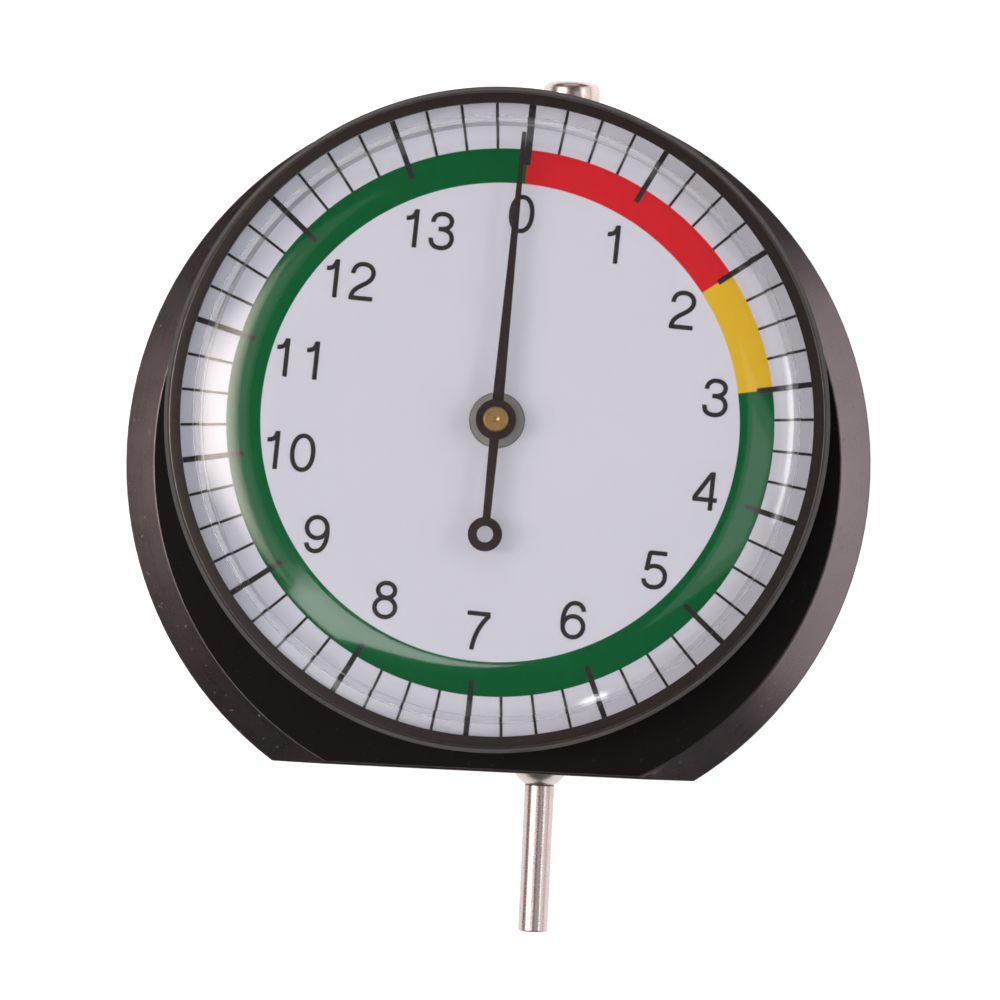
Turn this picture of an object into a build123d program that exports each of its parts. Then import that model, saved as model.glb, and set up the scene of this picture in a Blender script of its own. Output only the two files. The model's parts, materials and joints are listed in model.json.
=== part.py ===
from build123d import *
import math
import os

# Tire tread gauge: a dial depth gauge that lies on its back, dial up.
# Millimetres. +Z comes out of the dial, +Y points at the lift button, +X is the dial's right.
# The origin lies on the back face, directly below the pointer's axis.

# ---------------------------------------------------------------- driving dimensions
# Case
BODY_R = 25.4            # turned disc that the case is cut from
BODY_DROP = 2.87         # the disc's centre lies this far below the pointer's axis
RIM_WALL = 1.53          # wall beside the back cover, at its thinnest
LEDGE = 2.6              # ledge that the back cover is screwed to
FOOT_WALL = 5.4          # from the movement chamber to the flat foot
FRONT_CHAMFER_R = 2.05   # front chamfer, measured along the radius
FRONT_CHAMFER_Z = 1.2    # front chamfer, measured along the axis
BACK_CHAMFER = 0.4
FOOT_EDGE = 0.15         # edge break round the foot
WEB_T = 1.8              # wall between the movement and the dial

# Movement, from the back cover forwards
COVER_T = 1.5
BRIDGE_SPACE = 1.1       # from the cover to the bridge
BRIDGE_T = 1.0
BRIDGE_W = 5.0
ROD_SPACE = 0.37         # from the bridge to the rack rod
HAIRSPRING_SPACE = 2.17  # from the rack rod to the web

# Plunger and pinion
TRAVEL = 11.1125         # 14/32 in, which is one turn of the pointer
TEETH = 14               # one tooth for each 1/32 in
PRESSURE_ANGLE = 20.0
RACK_ADDENDUM = 0.8      # in modules, low enough to keep clear of an undercut
PINION_ADDENDUM = 1.0
TOOTH_GAP = 0.03         # from a tooth's tip to the other gear's root
BACKLASH = 0.02          # taken off every tooth's thickness
PINION_FACE = 2.6
ROD_R = 2.38             # rack rod, 3/16 in
ROD_OFFSET = 1.98        # from the rack's pitch line to the rod's axis
SPINDLE_R = 1.5          # upper, thinner part of the rod
HOLDER_R = 1.82          # contact holder that slides in the lower bush
HOLDER_STUD_R = 1.2
HOLDER_STUD_L = 3.2
HOLDER_NOSE_R = 1.06     # small end of the holder's cone
HOLDER_CONE = 0.87
HOLDER_SHOW = 0.05       # straight part of the holder that shows below the foot
PIN_R = 1.025
PIN_SHANK_R = 0.75       # thinner end of the contact pin, inside its holder
PIN_SHANK_L = 3.0
PIN_EDGE = 0.12
ROD_CLEAR = 0.5          # from the rack rod's end to the lower bush, pin out
SHOULDER_Y = 3.2         # spring seat on the rod, pin out
BUTTON_R = 1.95
BUTTON_H = 1.35
BUTTON_EDGE = 0.5
BUTTON_STUD_R = 0.8
BUTTON_STUD_L = 0.8

# Bushes
BUSH_WALL = 0.85
BUSH_STAND = 0.4         # how far a plunger bush stands into the chamber
BUSH_SHOW = 0.25         # how far the upper bush stands out of the case
FRONT_FLANGE_R = 2.6
FRONT_FLANGE_T = 0.7
FRONT_NOSE_R = 1.85      # nose that shows in the middle of the dial
FRONT_SLEEVE_R = 1.5
REAR_BUSH_R = 1.2

# Guide
GUIDE_PIN_R = 0.7
GUIDE_Y = 0.5            # middle of the guide pin's travel and of its rail
GUIDE_PIN_DEPTH = 1.2    # length inside the rod
GUIDE_PIN_REACH = 1.75   # length outside the rod
RAIL_SPACE = 0.45        # from the rod to the rail
RAIL_T = 1.8
RAIL_BACK = 0.3          # how far the rail reaches behind the rod
RAIL_END = 2.8           # rail beyond each end of its slot
SLOT_END = 0.6           # slot beyond each end of the guide pin's travel
EAR_L = 3.6
EAR_W = 3.2
EAR_T = 1.2

# Pillars and screws
PILLAR_R = 1.7
PILLAR_LEFT_X = -8.0
PILLAR_SPACE = 0.4       # from the rail to the right-hand pillar
SCREW_R = 0.6            # bridge, pillar and rail screws
SCREW_L = 2.6
RAIL_SCREW_L = 2.46
PILLAR_SCREW_L = 3.5
HEAD_R = 1.15
HEAD_T = 0.55
COVER_SCREW_R = 0.7
COVER_SCREW_L = 4.2
COVER_HEAD_R = 1.25
COVER_SCREWS = 6
COVER_SCREW_INSET = 1.6  # from the cover's edge to a screw's axis
DRIVE_W = 0.28           # slot in a screw's head
DRIVE_DEPTH = 0.3
DRIVE_TURN = 35.0        # degrees

# Pointer arbor
ARBOR_R = 0.6
PIVOT_R = 0.35
ARBOR_NOSE_R = 0.45
COLLET_R = 0.95
COLLET_HEAD_R = 0.86
COLLET_DIMPLE_R = 0.27
COLLET_HEAD_T = 0.35
COLLET_SHANK_R = 0.66
COLLET_EDGE = 0.1
HUB_R = 1.36
HUB_T = 0.6
NEEDLE_T = 0.2
NEEDLE_RISE = 1.2        # from the dial to the needle
COLLET_RISE = 0.3        # from the dial to the collet
ARBOR_SHORT = 0.1        # from the arbor's end to the top of the hub
NEEDLE_L = 19.4
NEEDLE_W = 0.8
NEEDLE_TIP_W = 0.28
TAIL_L = 7.74            # to the middle of the tail ring
TAIL_W = 0.5            # where it meets the ring; it is TAIL_ROOT_W at the hub
TAIL_ROOT_W = 0.68
TAIL_RING_R = 1.16
TAIL_HOLE_R = 0.55
POINTER_SET = -2.9       # degrees from +Y at which the pointer rests

# Hairspring
HAIR_T = 0.12
HAIR_W = 0.4
HAIR_TURNS = 3.5
HAIR_PITCH = 0.78
HAIR_POINTS = 12         # points of the spiral for each turn
HAIR_COLLET_R = 1.05
HAIR_COLLET_T = 0.8
STUD_W = 0.7

# Return spring
WIRE_R = 0.2
SPRING_R = 1.95          # to the middle of the wire
SPRING_TURNS = 9

# Bezel, dial and crystal
BEZEL_INSET = 0.13       # the bezel's top lies this far inside the case's
BEZEL_H = 3.6
BEZEL_LIFT = 0.1         # from the case to the bezel
BEZEL_WALL = 0.9
BEZEL_SEAT = 0.35        # step that carries the dial
BEZEL_LIP = 0.22         # how far the lip reaches over the crystal
BEZEL_LIP_T = 0.3
BEZEL_TOP_CHAMFER = 0.4
BEZEL_FOOT_CHAMFER = 0.2
BOSS_WALL = 1.6
BOSS_H = 1.05
WIRE_RING_R = 0.2        # split wire that holds the bezel on
WIRE_RING_GAP = 12.0     # degrees
GROOVE_GAP = 0.02        # between that wire and its grooves
DIAL_LIFT = 0.05         # from the boss to the dial
DIAL_T = 0.4
DIAL_HOLE_GAP = 0.1
CRYSTAL_WALL = 0.55
CRYSTAL_T = 0.6
CRYSTAL_RISE = 1.5       # crystal above the bezel's lip
CRYSTAL_LEDGE = 0.86     # flat ledge between the lip and the crystal's raised wall
CRYSTAL_SLOPE = 4.2      # from that wall to the crystal's flat top, along the radius
CRYSTAL_DROP = 1.04      # from the flat top down to that wall
CRYSTAL_EDGE = 0.2       # rounding of that wall's top

# Clearances
RUN_GAP = 0.03           # running fit, on the radius
BEZEL_GAP = 0.05         # between the bezel and its boss, on the radius
PRESS_GAP = 0.01         # pressed or screwed pieces, on the radius
LIFT_GAP = 0.05          # small gap between flat faces that part
OVER = 5.0               # how far a cutting tool runs past what it cuts

# ---------------------------------------------------------------- derived places
COVER_R = BODY_R - BODY_DROP - RIM_WALL
CHAMBER_R = COVER_R - LEDGE
FOOT_Y = -(CHAMBER_R + FOOT_WALL)

BRIDGE_Z = COVER_T + BRIDGE_SPACE
PLUNGER_Z = BRIDGE_Z + BRIDGE_T + ROD_SPACE + ROD_R
WEB_Z = PLUNGER_Z + ROD_R + HAIRSPRING_SPACE
FRONT_Z = WEB_Z + WEB_T
HAIR_Z = PLUNGER_Z + ROD_R + HAIRSPRING_SPACE / 2

MODULE = TRAVEL / (math.pi * TEETH)
PITCH = math.pi * MODULE
PITCH_R = MODULE * TEETH / 2
PINION_TIP_R = PITCH_R + PINION_ADDENDUM * MODULE
RACK_TIP_X = PITCH_R - RACK_ADDENDUM * MODULE
PINION_ROOT_R = RACK_TIP_X - TOOTH_GAP
RACK_ROOT_X = PINION_TIP_R + TOOTH_GAP
PLUNGER_X = PITCH_R + ROD_OFFSET

CASE_TOP_Y = math.sqrt(BODY_R**2 - PLUNGER_X**2) - BODY_DROP
CHAMBER_TOP_Y = math.sqrt(CHAMBER_R**2 - PLUNGER_X**2)
UPPER_BUSH_R = SPINDLE_R + RUN_GAP + BUSH_WALL
LOWER_BUSH_R = HOLDER_R + RUN_GAP + BUSH_WALL
UPPER_BUSH_TOP = CASE_TOP_Y + BUSH_SHOW
UPPER_BUSH_LOW = CHAMBER_TOP_Y - BUSH_STAND
LOWER_BUSH_TOP = -CHAMBER_TOP_Y + BUSH_STAND
ROD_LOW = LOWER_BUSH_TOP + ROD_CLEAR
BUTTON_LOW = UPPER_BUSH_TOP + LIFT_GAP
PIN_TIP_Y = FOOT_Y - TRAVEL
CONE_LOW = FOOT_Y - HOLDER_SHOW - HOLDER_CONE

GUIDE_PIN_Y = GUIDE_Y - TRAVEL / 2
RAIL_X = PLUNGER_X + ROD_R + RAIL_SPACE
PILLAR_RIGHT_X = RAIL_X + RAIL_T + PILLAR_SPACE + PILLAR_R
SLOT_LOW = GUIDE_PIN_Y - GUIDE_PIN_R - SLOT_END
SLOT_HIGH = GUIDE_PIN_Y + TRAVEL + GUIDE_PIN_R + SLOT_END
EAR_LOW_Y = SLOT_LOW - RAIL_END + EAR_W / 2
EAR_HIGH_Y = SLOT_HIGH + RAIL_END - EAR_W / 2

BEZEL_R = BODY_R - BODY_DROP - BEZEL_INSET
BEZEL_Z = FRONT_Z + BEZEL_LIFT
BEZEL_TOP = BEZEL_Z + BEZEL_H
BEZEL_BORE_R = BEZEL_R - BEZEL_WALL
BEZEL_SEAT_R = BEZEL_BORE_R - BEZEL_SEAT
LIP_R = BEZEL_BORE_R - BEZEL_LIP
BOSS_R = BEZEL_SEAT_R - BEZEL_GAP
BOSS_TOP = FRONT_Z + BOSS_H
DIAL_Z = BOSS_TOP + DIAL_LIFT
DIAL_TOP = DIAL_Z + DIAL_T
WIRE_RING_Z = (BEZEL_Z + DIAL_Z) / 2
WIRE_GROOVE = WIRE_RING_R + GROOVE_GAP
CRYSTAL_R = BEZEL_BORE_R - LIFT_GAP
CRYSTAL_TOP = BEZEL_TOP + CRYSTAL_RISE
CRYSTAL_WALL_R = LIP_R - CRYSTAL_LEDGE
CRYSTAL_FLAT_R = CRYSTAL_WALL_R - CRYSTAL_SLOPE

NEEDLE_Z = DIAL_TOP + NEEDLE_RISE
HUB_TOP = NEEDLE_Z + HUB_T
COLLET_LOW = DIAL_TOP + COLLET_RISE
ARBOR_TOP = HUB_TOP - ARBOR_SHORT
HAIR_END_R = HAIR_COLLET_R + HAIR_T / 2 + HAIR_PITCH * HAIR_TURNS


# ---------------------------------------------------------------- plain shapes
def disc(radius, z_low, z_high, x=0.0, y=0.0):
    """A cylinder along Z."""
    return Pos(x, y, (z_low + z_high) / 2) * Cylinder(radius, z_high - z_low)


def ring(outer, inner, z_low, z_high, x=0.0, y=0.0):
    """A flat ring along Z."""
    return disc(outer, z_low, z_high, x, y) - disc(inner, z_low - OVER, z_high + OVER, x, y)


def rod(radius, y_low, y_high):
    """A cylinder on the plunger's axis, along Y."""
    middle = Pos(PLUNGER_X, (y_low + y_high) / 2, PLUNGER_Z)
    return middle * Rot(90, 0, 0) * Cylinder(radius, y_high - y_low)


def block(x_low, x_high, y_low, y_high, z_low, z_high):
    """A box between two corners."""
    middle = Pos((x_low + x_high) / 2, (y_low + y_high) / 2, (z_low + z_high) / 2)
    return middle * Box(x_high - x_low, y_high - y_low, z_high - z_low)


def turned(outline):
    """Revolve a closed (radius, height) outline round Z."""
    return revolve(make_face(Plane.XZ * Polyline(*outline, close=True)), Axis.Z)


def turned_on_plunger(outline):
    """Revolve a closed (radius, height) outline round the plunger's axis."""
    return Pos(PLUNGER_X, 0, PLUNGER_Z) * Rot(-90, 0, 0) * turned(outline)


def screw(x, y, z_head, length, radius, head_r, head_t, forwards):
    """A countersunk slotted screw whose flat head lies at z_head; it points along +Z or -Z."""
    outline = [(0, 0), (head_r, 0), (radius, head_t), (radius, length), (0, length)]
    slot = block(-OVER, OVER, -DRIVE_W / 2, DRIVE_W / 2, -OVER, DRIVE_DEPTH)
    turn = Rot(0, 0, 0) if forwards else Rot(180, 0, 0)
    return Pos(x, y, z_head) * turn * Rot(0, 0, DRIVE_TURN) * (turned(outline) - slot)


def screw_hole(x, y, z_head, length, radius, head_r, head_t, forwards):
    """The space that such a screw needs, with a pressed fit's gap all round."""
    outline = [
        (0, -LIFT_GAP),
        (head_r + PRESS_GAP, -LIFT_GAP),
        (head_r + PRESS_GAP, 0),
        (radius + PRESS_GAP, head_t),
        (radius + PRESS_GAP, length + LIFT_GAP),
        (0, length + LIFT_GAP),
    ]
    turn = Rot(0, 0, 0) if forwards else Rot(180, 0, 0)
    return Pos(x, y, z_head) * turn * turned(outline)


def around(count, radius):
    """Points evenly spaced on a circle about the origin, from +X on."""
    turns = [2 * math.pi * i / count for i in range(count)]
    return [(radius * math.cos(a), radius * math.sin(a)) for a in turns]


# ---------------------------------------------------------------- screw places
COVER_SCREW_SPOTS = around(COVER_SCREWS, COVER_R - COVER_SCREW_INSET)
COVER_SCREW = (0, COVER_SCREW_L, COVER_SCREW_R, COVER_HEAD_R, HEAD_T, True)
PILLAR_SPOTS = [(PILLAR_LEFT_X, 0), (PILLAR_RIGHT_X, 0)]
BRIDGE_SCREW = (BRIDGE_Z, SCREW_L, SCREW_R, HEAD_R, HEAD_T, True)
PILLAR_SCREW = (FRONT_Z, PILLAR_SCREW_L, SCREW_R, HEAD_R, HEAD_T, False)
EAR_X = RAIL_X + RAIL_T + EAR_L / 2
EAR_SPOTS = [(EAR_X, EAR_LOW_Y), (EAR_X, EAR_HIGH_Y)]
RAIL_SCREW = (WEB_Z - EAR_T, RAIL_SCREW_L, SCREW_R, HEAD_R, HEAD_T, True)


# ---------------------------------------------------------------- case
def foot_edge_break(z, inwards):
    """A three-sided bar that takes the sharp edge off the foot at that height."""
    corners = [
        (FOOT_Y + FOOT_EDGE, z),
        (FOOT_Y, z + inwards * FOOT_EDGE),
        (FOOT_Y - FOOT_EDGE, z - inwards * FOOT_EDGE),
    ]
    return extrude(make_face(Plane.YZ * Polyline(*corners, close=True)), BODY_R, both=True)


def gauge_body():
    """The turned disc with its flat foot, movement chamber, bores and bezel boss."""
    profile = [
        (0, 0),
        (BODY_R - BACK_CHAMFER, 0),
        (BODY_R, BACK_CHAMFER),
        (BODY_R, FRONT_Z - FRONT_CHAMFER_Z),
        (BODY_R - FRONT_CHAMFER_R, FRONT_Z),
        (0, FRONT_Z),
    ]
    body = Pos(0, -BODY_DROP, 0) * turned(profile)
    body -= block(-2 * BODY_R, 2 * BODY_R, FOOT_Y - BODY_R, FOOT_Y, -OVER, FRONT_Z + OVER)
    body -= foot_edge_break(0, 1)
    body -= foot_edge_break(FRONT_Z, -1)
    body += disc(BOSS_R, WEB_Z, BOSS_TOP)
    body -= disc(BOSS_R - BOSS_WALL, FRONT_Z, BOSS_TOP + OVER)
    groove_low = WIRE_RING_Z - WIRE_GROOVE
    groove_high = WIRE_RING_Z + WIRE_GROOVE
    body -= ring(BOSS_R + OVER, BOSS_R - WIRE_GROOVE, groove_low, groove_high)
    body -= disc(COVER_R + LIFT_GAP, -OVER, COVER_T)
    body -= disc(CHAMBER_R, 0, WEB_Z)
    body -= disc(FRONT_SLEEVE_R + PRESS_GAP, 0, BOSS_TOP + OVER)
    body -= rod(UPPER_BUSH_R + PRESS_GAP, 0, CASE_TOP_Y + OVER)
    body -= rod(LOWER_BUSH_R + PRESS_GAP, FOOT_Y - OVER, 0)
    for x, y in COVER_SCREW_SPOTS:
        body -= screw_hole(x, y, *COVER_SCREW)
    for x, y in PILLAR_SPOTS:
        body -= screw_hole(x, y, *PILLAR_SCREW)
    for x, y in EAR_SPOTS:
        body -= screw_hole(x, y, *RAIL_SCREW)
    return body


def back_cover():
    """The flat lid let into the back."""
    cover = disc(COVER_R, 0, COVER_T)
    for x, y in COVER_SCREW_SPOTS:
        cover -= screw_hole(x, y, *COVER_SCREW)
    return cover


def back_cover_screws():
    return [screw(x, y, *COVER_SCREW) for x, y in COVER_SCREW_SPOTS]


def lower_bush():
    """Plain bush in the foot; the contact holder slides in it."""
    bush = rod(LOWER_BUSH_R, FOOT_Y + LIFT_GAP, LOWER_BUSH_TOP)
    return bush - rod(HOLDER_R + RUN_GAP, FOOT_Y - OVER, 0)


def upper_bush():
    """Plain bush at the top; the spindle slides in it and the button rests on it."""
    bush = rod(UPPER_BUSH_R, UPPER_BUSH_LOW, UPPER_BUSH_TOP)
    return bush - rod(SPINDLE_R + RUN_GAP, 0, UPPER_BUSH_TOP + OVER)


def bezel_wire():
    """Split wire, half in the boss's groove and half in the bezel's."""
    middle = (BOSS_R + BEZEL_SEAT_R) / 2
    section = Plane.XZ * Pos(middle, WIRE_RING_Z) * Circle(WIRE_RING_R)
    return revolve(section, Axis.Z, 360 - WIRE_RING_GAP)


# ---------------------------------------------------------------- movement
def front_bush():
    """Flanged bush in the web; its nose fills the hole in the dial."""
    outline = [
        (ARBOR_R + RUN_GAP, WEB_Z),
        (FRONT_SLEEVE_R, WEB_Z),
        (FRONT_SLEEVE_R, FRONT_Z),
        (FRONT_FLANGE_R, FRONT_Z),
        (FRONT_FLANGE_R, FRONT_Z + FRONT_FLANGE_T),
        (FRONT_NOSE_R, FRONT_Z + FRONT_FLANGE_T),
        (FRONT_NOSE_R, DIAL_TOP),
        (ARBOR_R + RUN_GAP, DIAL_TOP),
    ]
    return turned(outline)


def rear_bush():
    """Brass bush for the arbor's rear pivot."""
    return ring(REAR_BUSH_R, PIVOT_R + RUN_GAP, BRIDGE_Z, BRIDGE_Z + BRIDGE_T)


def movement_bridge():
    """Round-ended bar that carries the rear bush between two pillars."""
    middle_x = (PILLAR_LEFT_X + PILLAR_RIGHT_X) / 2
    span = PILLAR_RIGHT_X - PILLAR_LEFT_X
    bar = Pos(middle_x, 0) * SlotCenterToCenter(span, BRIDGE_W)
    bridge = Pos(0, 0, BRIDGE_Z) * extrude(bar, BRIDGE_T)
    bridge -= disc(REAR_BUSH_R + PRESS_GAP, BRIDGE_Z - OVER, BRIDGE_Z + OVER)
    for x, y in PILLAR_SPOTS:
        bridge -= screw_hole(x, y, *BRIDGE_SCREW)
    return bridge


def movement_pillars():
    """Two pillars from the web to the bridge, tapped at both ends."""
    pillars = []
    for x, y in PILLAR_SPOTS:
        pillar = disc(PILLAR_R, BRIDGE_Z + BRIDGE_T, WEB_Z, x, y)
        pillar -= screw_hole(x, y, *BRIDGE_SCREW)
        pillar -= screw_hole(x, y, *PILLAR_SCREW)
        pillars.append(pillar)
    return pillars


def bridge_screws():
    return [screw(x, y, *BRIDGE_SCREW) for x, y in PILLAR_SPOTS]


def pillar_screws():
    return [screw(x, y, *PILLAR_SCREW) for x, y in PILLAR_SPOTS]


def guide_rail():
    """Slotted rail beside the rod, hung from the web by two ears."""
    low = SLOT_LOW - RAIL_END
    high = SLOT_HIGH + RAIL_END
    rail_x = RAIL_X + RAIL_T
    rail = block(RAIL_X, rail_x, low, high, PLUNGER_Z - ROD_R - RAIL_BACK, WEB_Z)
    for _, y in EAR_SPOTS:
        rail += block(RAIL_X, rail_x + EAR_L, y - EAR_W / 2, y + EAR_W / 2, WEB_Z - EAR_T, WEB_Z)
    slot_z = GUIDE_PIN_R + RUN_GAP
    rail -= block(
        RAIL_X - OVER, rail_x + OVER, SLOT_LOW, SLOT_HIGH, PLUNGER_Z - slot_z, PLUNGER_Z + slot_z
    )
    for x, y in EAR_SPOTS:
        rail -= screw_hole(x, y, *RAIL_SCREW)
    return rail


def guide_rail_screws():
    return [screw(x, y, *RAIL_SCREW) for x, y in EAR_SPOTS]


def hairspring_stud():
    """Small post in the web that holds the hairspring's outer end."""
    near = -(HAIR_END_R + HAIR_T / 2)
    return block(near - STUD_W, near, -STUD_W / 2, STUD_W / 2, HAIR_Z - HAIR_W, WEB_Z)


def hairspring():
    """Flat spiral strip that takes up the backlash."""
    steps = round(HAIR_TURNS * HAIR_POINTS)
    inner = []
    outer = []
    for i in range(steps + 1):
        turn = i / HAIR_POINTS
        angle = 2 * math.pi * turn
        radius = HAIR_COLLET_R + HAIR_T / 2 + HAIR_PITCH * turn
        for side, points in ((-1, inner), (1, outer)):
            reach = radius + side * HAIR_T / 2
            points.append((reach * math.cos(angle), reach * math.sin(angle)))
    edges = Spline(*inner) + Line(inner[-1], outer[-1])
    edges += Spline(*reversed(outer)) + Line(outer[0], inner[0])
    return Pos(0, 0, HAIR_Z - HAIR_W / 2) * extrude(make_face(edges), HAIR_W)


def return_spring():
    """Compression spring round the spindle, from the rod's shoulder to the upper bush."""
    low = SHOULDER_Y + WIRE_R + PRESS_GAP
    length = UPPER_BUSH_LOW - WIRE_R - PRESS_GAP - low
    path = Helix(length / SPRING_TURNS, length, SPRING_R)
    section = Plane(path @ 0, z_dir=path % 0) * Circle(WIRE_R)
    coil = sweep(section, path=path, is_frenet=True)
    return Pos(PLUNGER_X, low, PLUNGER_Z) * Rot(-90, 0, 0) * coil


# ---------------------------------------------------------------- plunger
def rack_comb():
    """Everything left of the rack's teeth, as one cutting tool."""
    lean = math.tan(math.radians(PRESSURE_ANGLE))
    half = PITCH / 4 + BACKLASH / 2
    tip_half = half + (PITCH_R - RACK_TIP_X) * lean
    root_half = half - (RACK_ROOT_X - PITCH_R) * lean
    spare = 2
    outline = [(RACK_TIP_X - OVER, spare * PITCH + tip_half)]
    for gap in range(spare, -TEETH - spare - 1, -1):
        middle = gap * PITCH
        outline.append((RACK_TIP_X, middle + tip_half))
        outline.append((RACK_ROOT_X, middle + root_half))
        outline.append((RACK_ROOT_X, middle - root_half))
        outline.append((RACK_TIP_X, middle - tip_half))
    outline.append((RACK_TIP_X - OVER, outline[-1][1]))
    comb = extrude(make_face(Polyline(*outline, close=True)), 2 * (ROD_R + OVER))
    return Pos(0, 0, PLUNGER_Z - ROD_R - OVER) * comb


def rack_plunger():
    """Rack rod below, spindle above, and a stud for the button."""
    outline = [
        (0, ROD_LOW),
        (ROD_R, ROD_LOW),
        (ROD_R, SHOULDER_Y),
        (SPINDLE_R, SHOULDER_Y),
        (SPINDLE_R, BUTTON_LOW),
        (BUTTON_STUD_R, BUTTON_LOW),
        (BUTTON_STUD_R, BUTTON_LOW + BUTTON_STUD_L),
        (0, BUTTON_LOW + BUTTON_STUD_L),
    ]
    plunger = turned_on_plunger(outline) - rack_comb()
    plunger -= rod(HOLDER_STUD_R + PRESS_GAP, ROD_LOW - OVER, ROD_LOW + HOLDER_STUD_L + LIFT_GAP)
    hole = Pos(PLUNGER_X, GUIDE_PIN_Y, PLUNGER_Z) * Rot(0, 90, 0)
    hole_x = ROD_R - GUIDE_PIN_DEPTH - LIFT_GAP
    hole *= Pos(0, 0, hole_x + OVER / 2) * Cylinder(GUIDE_PIN_R + PRESS_GAP, OVER)
    return plunger - hole


def guide_pin():
    """Cross pin that keeps the rod from turning."""
    length = GUIDE_PIN_DEPTH + GUIDE_PIN_REACH
    middle = PLUNGER_X + ROD_R - GUIDE_PIN_DEPTH + length / 2
    return Pos(middle, GUIDE_PIN_Y, PLUNGER_Z) * Rot(0, 90, 0) * Cylinder(GUIDE_PIN_R, length)


def contact_holder():
    """Sleeve with a coned nose, screwed into the rack rod; it carries the contact pin."""
    outline = [
        (0, ROD_LOW + HOLDER_STUD_L),
        (HOLDER_STUD_R, ROD_LOW + HOLDER_STUD_L),
        (HOLDER_STUD_R, ROD_LOW),
        (HOLDER_R, ROD_LOW),
        (HOLDER_R, FOOT_Y - HOLDER_SHOW),
        (HOLDER_NOSE_R + PRESS_GAP, CONE_LOW),
        (0, CONE_LOW),
    ]
    holder = turned_on_plunger(outline)
    return holder - rod(PIN_SHANK_R + PRESS_GAP, CONE_LOW - OVER, CONE_LOW + PIN_SHANK_L + LIFT_GAP)


def contact_pin():
    """Steel pin that is pushed down into the tread."""
    outline = [
        (0, CONE_LOW + PIN_SHANK_L),
        (PIN_SHANK_R, CONE_LOW + PIN_SHANK_L),
        (PIN_SHANK_R, CONE_LOW),
        (PIN_R, CONE_LOW),
        (PIN_R, PIN_TIP_Y + PIN_EDGE),
        (PIN_R - PIN_EDGE, PIN_TIP_Y),
        (0, PIN_TIP_Y),
    ]
    return turned_on_plunger(outline)


def lift_button():
    """Pan-headed button on the spindle's end."""
    button = rod(BUTTON_R, BUTTON_LOW, BUTTON_LOW + BUTTON_H)
    button = fillet(button.edges().sort_by(Axis.Y)[-1], BUTTON_EDGE)
    stud_r = BUTTON_STUD_R + PRESS_GAP
    return button - rod(stud_r, BUTTON_LOW - OVER, BUTTON_LOW + BUTTON_STUD_L + LIFT_GAP)


# ---------------------------------------------------------------- pointer
def involute(radius, base):
    """The involute's polar angle at a radius, from where it leaves the base circle."""
    roll = math.sqrt((radius / base) ** 2 - 1)
    return roll - math.atan(roll)


def pinion_outline():
    """One closed outline of involute teeth, with a tooth on +X."""
    base = PITCH_R * math.cos(math.radians(PRESSURE_ANGLE))
    half = (PITCH / 2 - BACKLASH) / 2 / PITCH_R + involute(PITCH_R, base)
    steps = 4
    flank = [(PINION_ROOT_R, half)]
    for i in range(steps + 1):
        radius = base + (PINION_TIP_R - base) * i / steps
        flank.append((radius, half - involute(radius, base)))
    points = []
    for tooth in range(TEETH):
        middle = 2 * math.pi * tooth / TEETH
        for radius, angle in flank:
            points.append((radius, middle - angle))
        for radius, angle in reversed(flank):
            points.append((radius, middle + angle))
    return [(radius * math.cos(a), radius * math.sin(a)) for radius, a in points]


def pinion_arbor():
    """Arbor with its pinion, rear pivot and the nose that takes the pointer."""
    pinion_z = PLUNGER_Z - PINION_FACE / 2
    shaft_z = BRIDGE_Z + BRIDGE_T + LIFT_GAP
    arbor = disc(PIVOT_R, BRIDGE_Z, shaft_z) + disc(ARBOR_R, shaft_z, DIAL_TOP)
    arbor += disc(ARBOR_NOSE_R, DIAL_TOP, ARBOR_TOP)
    teeth = extrude(make_face(Polyline(*pinion_outline(), close=True)), PINION_FACE)
    return arbor + Pos(0, 0, pinion_z) * teeth


def hairspring_collet():
    """Brass ring on the arbor that holds the hairspring's inner end."""
    low = HAIR_Z - HAIR_COLLET_T / 2
    return ring(HAIR_COLLET_R - PRESS_GAP, ARBOR_R + PRESS_GAP, low, low + HAIR_COLLET_T)


def pointer_needle():
    """Flat needle with a hub and a ringed tail."""
    blade = [
        (-NEEDLE_W / 2, 0),
        (-NEEDLE_TIP_W / 2, NEEDLE_L),
        (NEEDLE_TIP_W / 2, NEEDLE_L),
        (NEEDLE_W / 2, 0),
    ]
    tail = [
        (-TAIL_ROOT_W / 2, 0),
        (-TAIL_W / 2, -TAIL_L),
        (TAIL_W / 2, -TAIL_L),
        (TAIL_ROOT_W / 2, 0),
    ]
    flat = make_face(Polyline(*blade, close=True)) + make_face(Polyline(*tail, close=True))
    flat += Pos(0, -TAIL_L) * Circle(TAIL_RING_R)
    needle = extrude(flat, NEEDLE_T) + disc(HUB_R, 0, HUB_T)
    needle -= disc(TAIL_HOLE_R, -OVER, OVER, 0, -TAIL_L)
    needle -= disc(COLLET_SHANK_R + PRESS_GAP, -OVER, OVER)
    return Pos(0, 0, NEEDLE_Z) * Rot(0, 0, POINTER_SET) * needle


def pointer_collet():
    """Brass collet riveted through the needle, with a dimpled head."""
    head_top = HUB_TOP + COLLET_HEAD_T
    outline = [
        (0, ARBOR_TOP + LIFT_GAP),
        (ARBOR_NOSE_R + PRESS_GAP, ARBOR_TOP + LIFT_GAP),
        (ARBOR_NOSE_R + PRESS_GAP, COLLET_LOW),
        (COLLET_R, COLLET_LOW),
        (COLLET_R, NEEDLE_Z),
        (COLLET_SHANK_R, NEEDLE_Z),
        (COLLET_SHANK_R, HUB_TOP),
        (COLLET_HEAD_R, HUB_TOP),
        (COLLET_HEAD_R, head_top - COLLET_EDGE),
        (COLLET_HEAD_R - COLLET_EDGE, head_top),
        (COLLET_DIMPLE_R, head_top),
        (0, head_top - COLLET_DIMPLE_R / 2),
    ]
    return turned(outline)


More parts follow.
